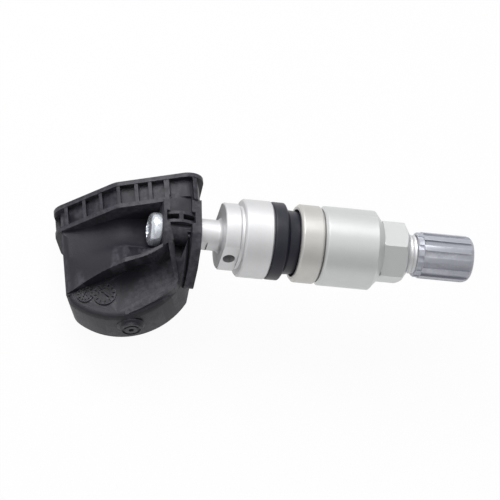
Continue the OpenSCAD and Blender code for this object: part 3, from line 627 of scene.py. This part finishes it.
def cutRound(piece, s, start):
    # Boxes spaced evenly round the valve's axis, cut out of the piece
    angle = math.radians(s["turn"])
    reach = s["floor"] + cutHeight / 2
    middle = start / mm + (s["from"] + s["to"]) / 2
    bpy.ops.object.select_all(action="DESELECT")
    bpy.ops.mesh.primitive_cube_add(
        size=1, scale=((s["to"] - s["from"]) * mm, s["wide"] * mm, cutHeight * mm),
        location=(middle * mm, reach * math.cos(angle) * mm, reach * math.sin(angle) * mm),
        rotation=(angle - math.pi / 2, 0, 0))
    cutter = bpy.context.object
    freeze(cutter)
    bpy.ops.object.mode_set(mode="EDIT")
    bpy.ops.mesh.select_all(action="SELECT")
    bpy.ops.mesh.spin(steps=s["count"] - 1, angle=2 * math.pi * (s["count"] - 1) / s["count"],
                      dupli=True, center=(0, 0, 0), axis=(1, 0, 0))
    cutAway(piece, closeShape(cutter, s["name"]))


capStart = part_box("valve_cap")[0][0]
capPiece = makeCapBlank(capSettings, capStart)
for cut in capCuts:
    cutRound(capPiece, cut, capStart)
roundEdges(capPiece, capSettings["edge"], capSettings["edgeAngle"])
finishPiece(capPiece, "valve_cap")
print("cap:", len(capPiece.data.polygons), "faces")

# Floor, world and lamps
floorSettings = {
    "size": 3.0, "gap": 0.0002, "color": (0.88, 0.88, 0.88), "rough": 0.9, "specular": 0.1,
    "cameraWhite": 0.95, "mirrorWhite": 0.85,       # how white the camera and the metal see it
}
worldSettings = {"low": 0.56, "high": 0.95, "soft": 0.30}     # below, above, share on matt surfaces
lampSettings = [                                    # places in metres: right, up, towards the camera
    {"name": "keySoftBox", "power": 2.45, "size": 0.42, "at": (-0.06, 0.45, 0.28)},
    {"name": "fillSoftBox", "power": 0.45, "size": 0.5, "at": (-0.06, 0.10, 0.50)},
]


def makeFloor(s):
    low = Vector(cadBox[0])
    bpy.ops.mesh.primitive_plane_add(size=s["size"], location=(0, 0, low[2] - s["gap"]))
    floor = bpy.context.object
    floor.name = "paleFloor"
    freeze(floor)
    mat = bpy.data.materials.new("paleFloorFinish")
    mat.use_nodes = True
    tree = mat.node_tree
    shader = tree.nodes["Principled BSDF"]
    shader.inputs["Base Color"].default_value = (*s["color"], 1)
    shader.inputs["Roughness"].default_value = s["rough"]
    shader.inputs["Specular IOR Level"].default_value = s["specular"]
    glow = addNode(tree, "ShaderNodeEmission")
    glow.inputs["Strength"].default_value = 1.0
    rays = addNode(tree, "ShaderNodeLightPath")
    straight = mathNode(tree, "MULTIPLY", rays.outputs["Is Camera Ray"], s["cameraWhite"])
    mirrored = mathNode(tree, "MULTIPLY", rays.outputs["Is Glossy Ray"], s["mirrorWhite"])
    share = mathNode(tree, "MAXIMUM", straight, mirrored)
    mix = addNode(tree, "ShaderNodeMixShader")
    tree.links.new(share, mix.inputs[0])
    tree.links.new(shader.outputs[0], mix.inputs[1])
    tree.links.new(glow.outputs[0], mix.inputs[2])
    tree.links.new(mix.outputs[0], tree.nodes["Material Output"].inputs["Surface"])
    floor.data.materials.append(mat)


def makeWorld(s):
    # White to the camera; to the object a studio that is bright above and dim below
    world = bpy.data.worlds.new("studioWorld")
    bpy.context.scene.world = world
    world.use_nodes = True
    tree = world.node_tree
    light = tree.nodes["Background"]
    light.inputs["Color"].default_value = (1, 1, 1, 1)
    ways = addNode(tree, "ShaderNodeTexCoord")
    height = addNode(tree, "ShaderNodeVectorMath", operation="DOT_PRODUCT")
    height.inputs[1].default_value = pictureAxes(cameraSettings)[1]
    tree.links.new(ways.outputs["Generated"], height.inputs[0])
    spread = addNode(tree, "ShaderNodeMapRange", interpolation_type="SMOOTHSTEP")
    span = {"From Min": -1.0, "From Max": 1.0, "To Min": s["low"], "To Max": s["high"]}
    for label, value in span.items():
        spread.inputs[label].default_value = value
    tree.links.new(height.outputs["Value"], spread.inputs["Value"])
    rays = addNode(tree, "ShaderNodeLightPath")
    soft = mathNode(tree, "MULTIPLY", rays.outputs["Is Diffuse Ray"], 1 - s["soft"])
    level = mathNode(tree, "SUBTRACT", 1.0, soft)
    tree.links.new(mathNode(tree, "MULTIPLY", spread.outputs["Result"], level), light.inputs["Strength"])
    white = addNode(tree, "ShaderNodeBackground")
    white.inputs["Color"].default_value = (1, 1, 1, 1)
    white.inputs["Strength"].default_value = 1.0
    mix = addNode(tree, "ShaderNodeMixShader")
    tree.links.new(rays.outputs["Is Camera Ray"], mix.inputs[0])
    tree.links.new(light.outputs[0], mix.inputs[1])
    tree.links.new(white.outputs[0], mix.inputs[2])
    tree.links.new(mix.outputs[0], tree.nodes["World Output"].inputs["Surface"])


def makeLamp(s):
    # A soft box placed by the picture's own directions, aimed at the object
    right, up, back = pictureAxes(cameraSettings)
    middle = (Vector(cadBox[0]) + Vector(cadBox[1])) / 2
    place = middle + right * s["at"][0] + up * s["at"][1] + back * s["at"][2]
    bpy.ops.object.light_add(type="AREA")
    lamp = bpy.context.object
    lamp.name = s["name"]
    lamp.data.energy = s["power"]
    lamp.data.size = s["size"]
    turn = (place - middle).to_track_quat("Z", "Y").to_matrix().to_4x4()
    lamp.matrix_world = Matrix.Translation(place) @ turn


makeFloor(floorSettings)
makeWorld(worldSettings)
for lampPlan in lampSettings:
    makeLamp(lampPlan)
print("stage and lamps set")
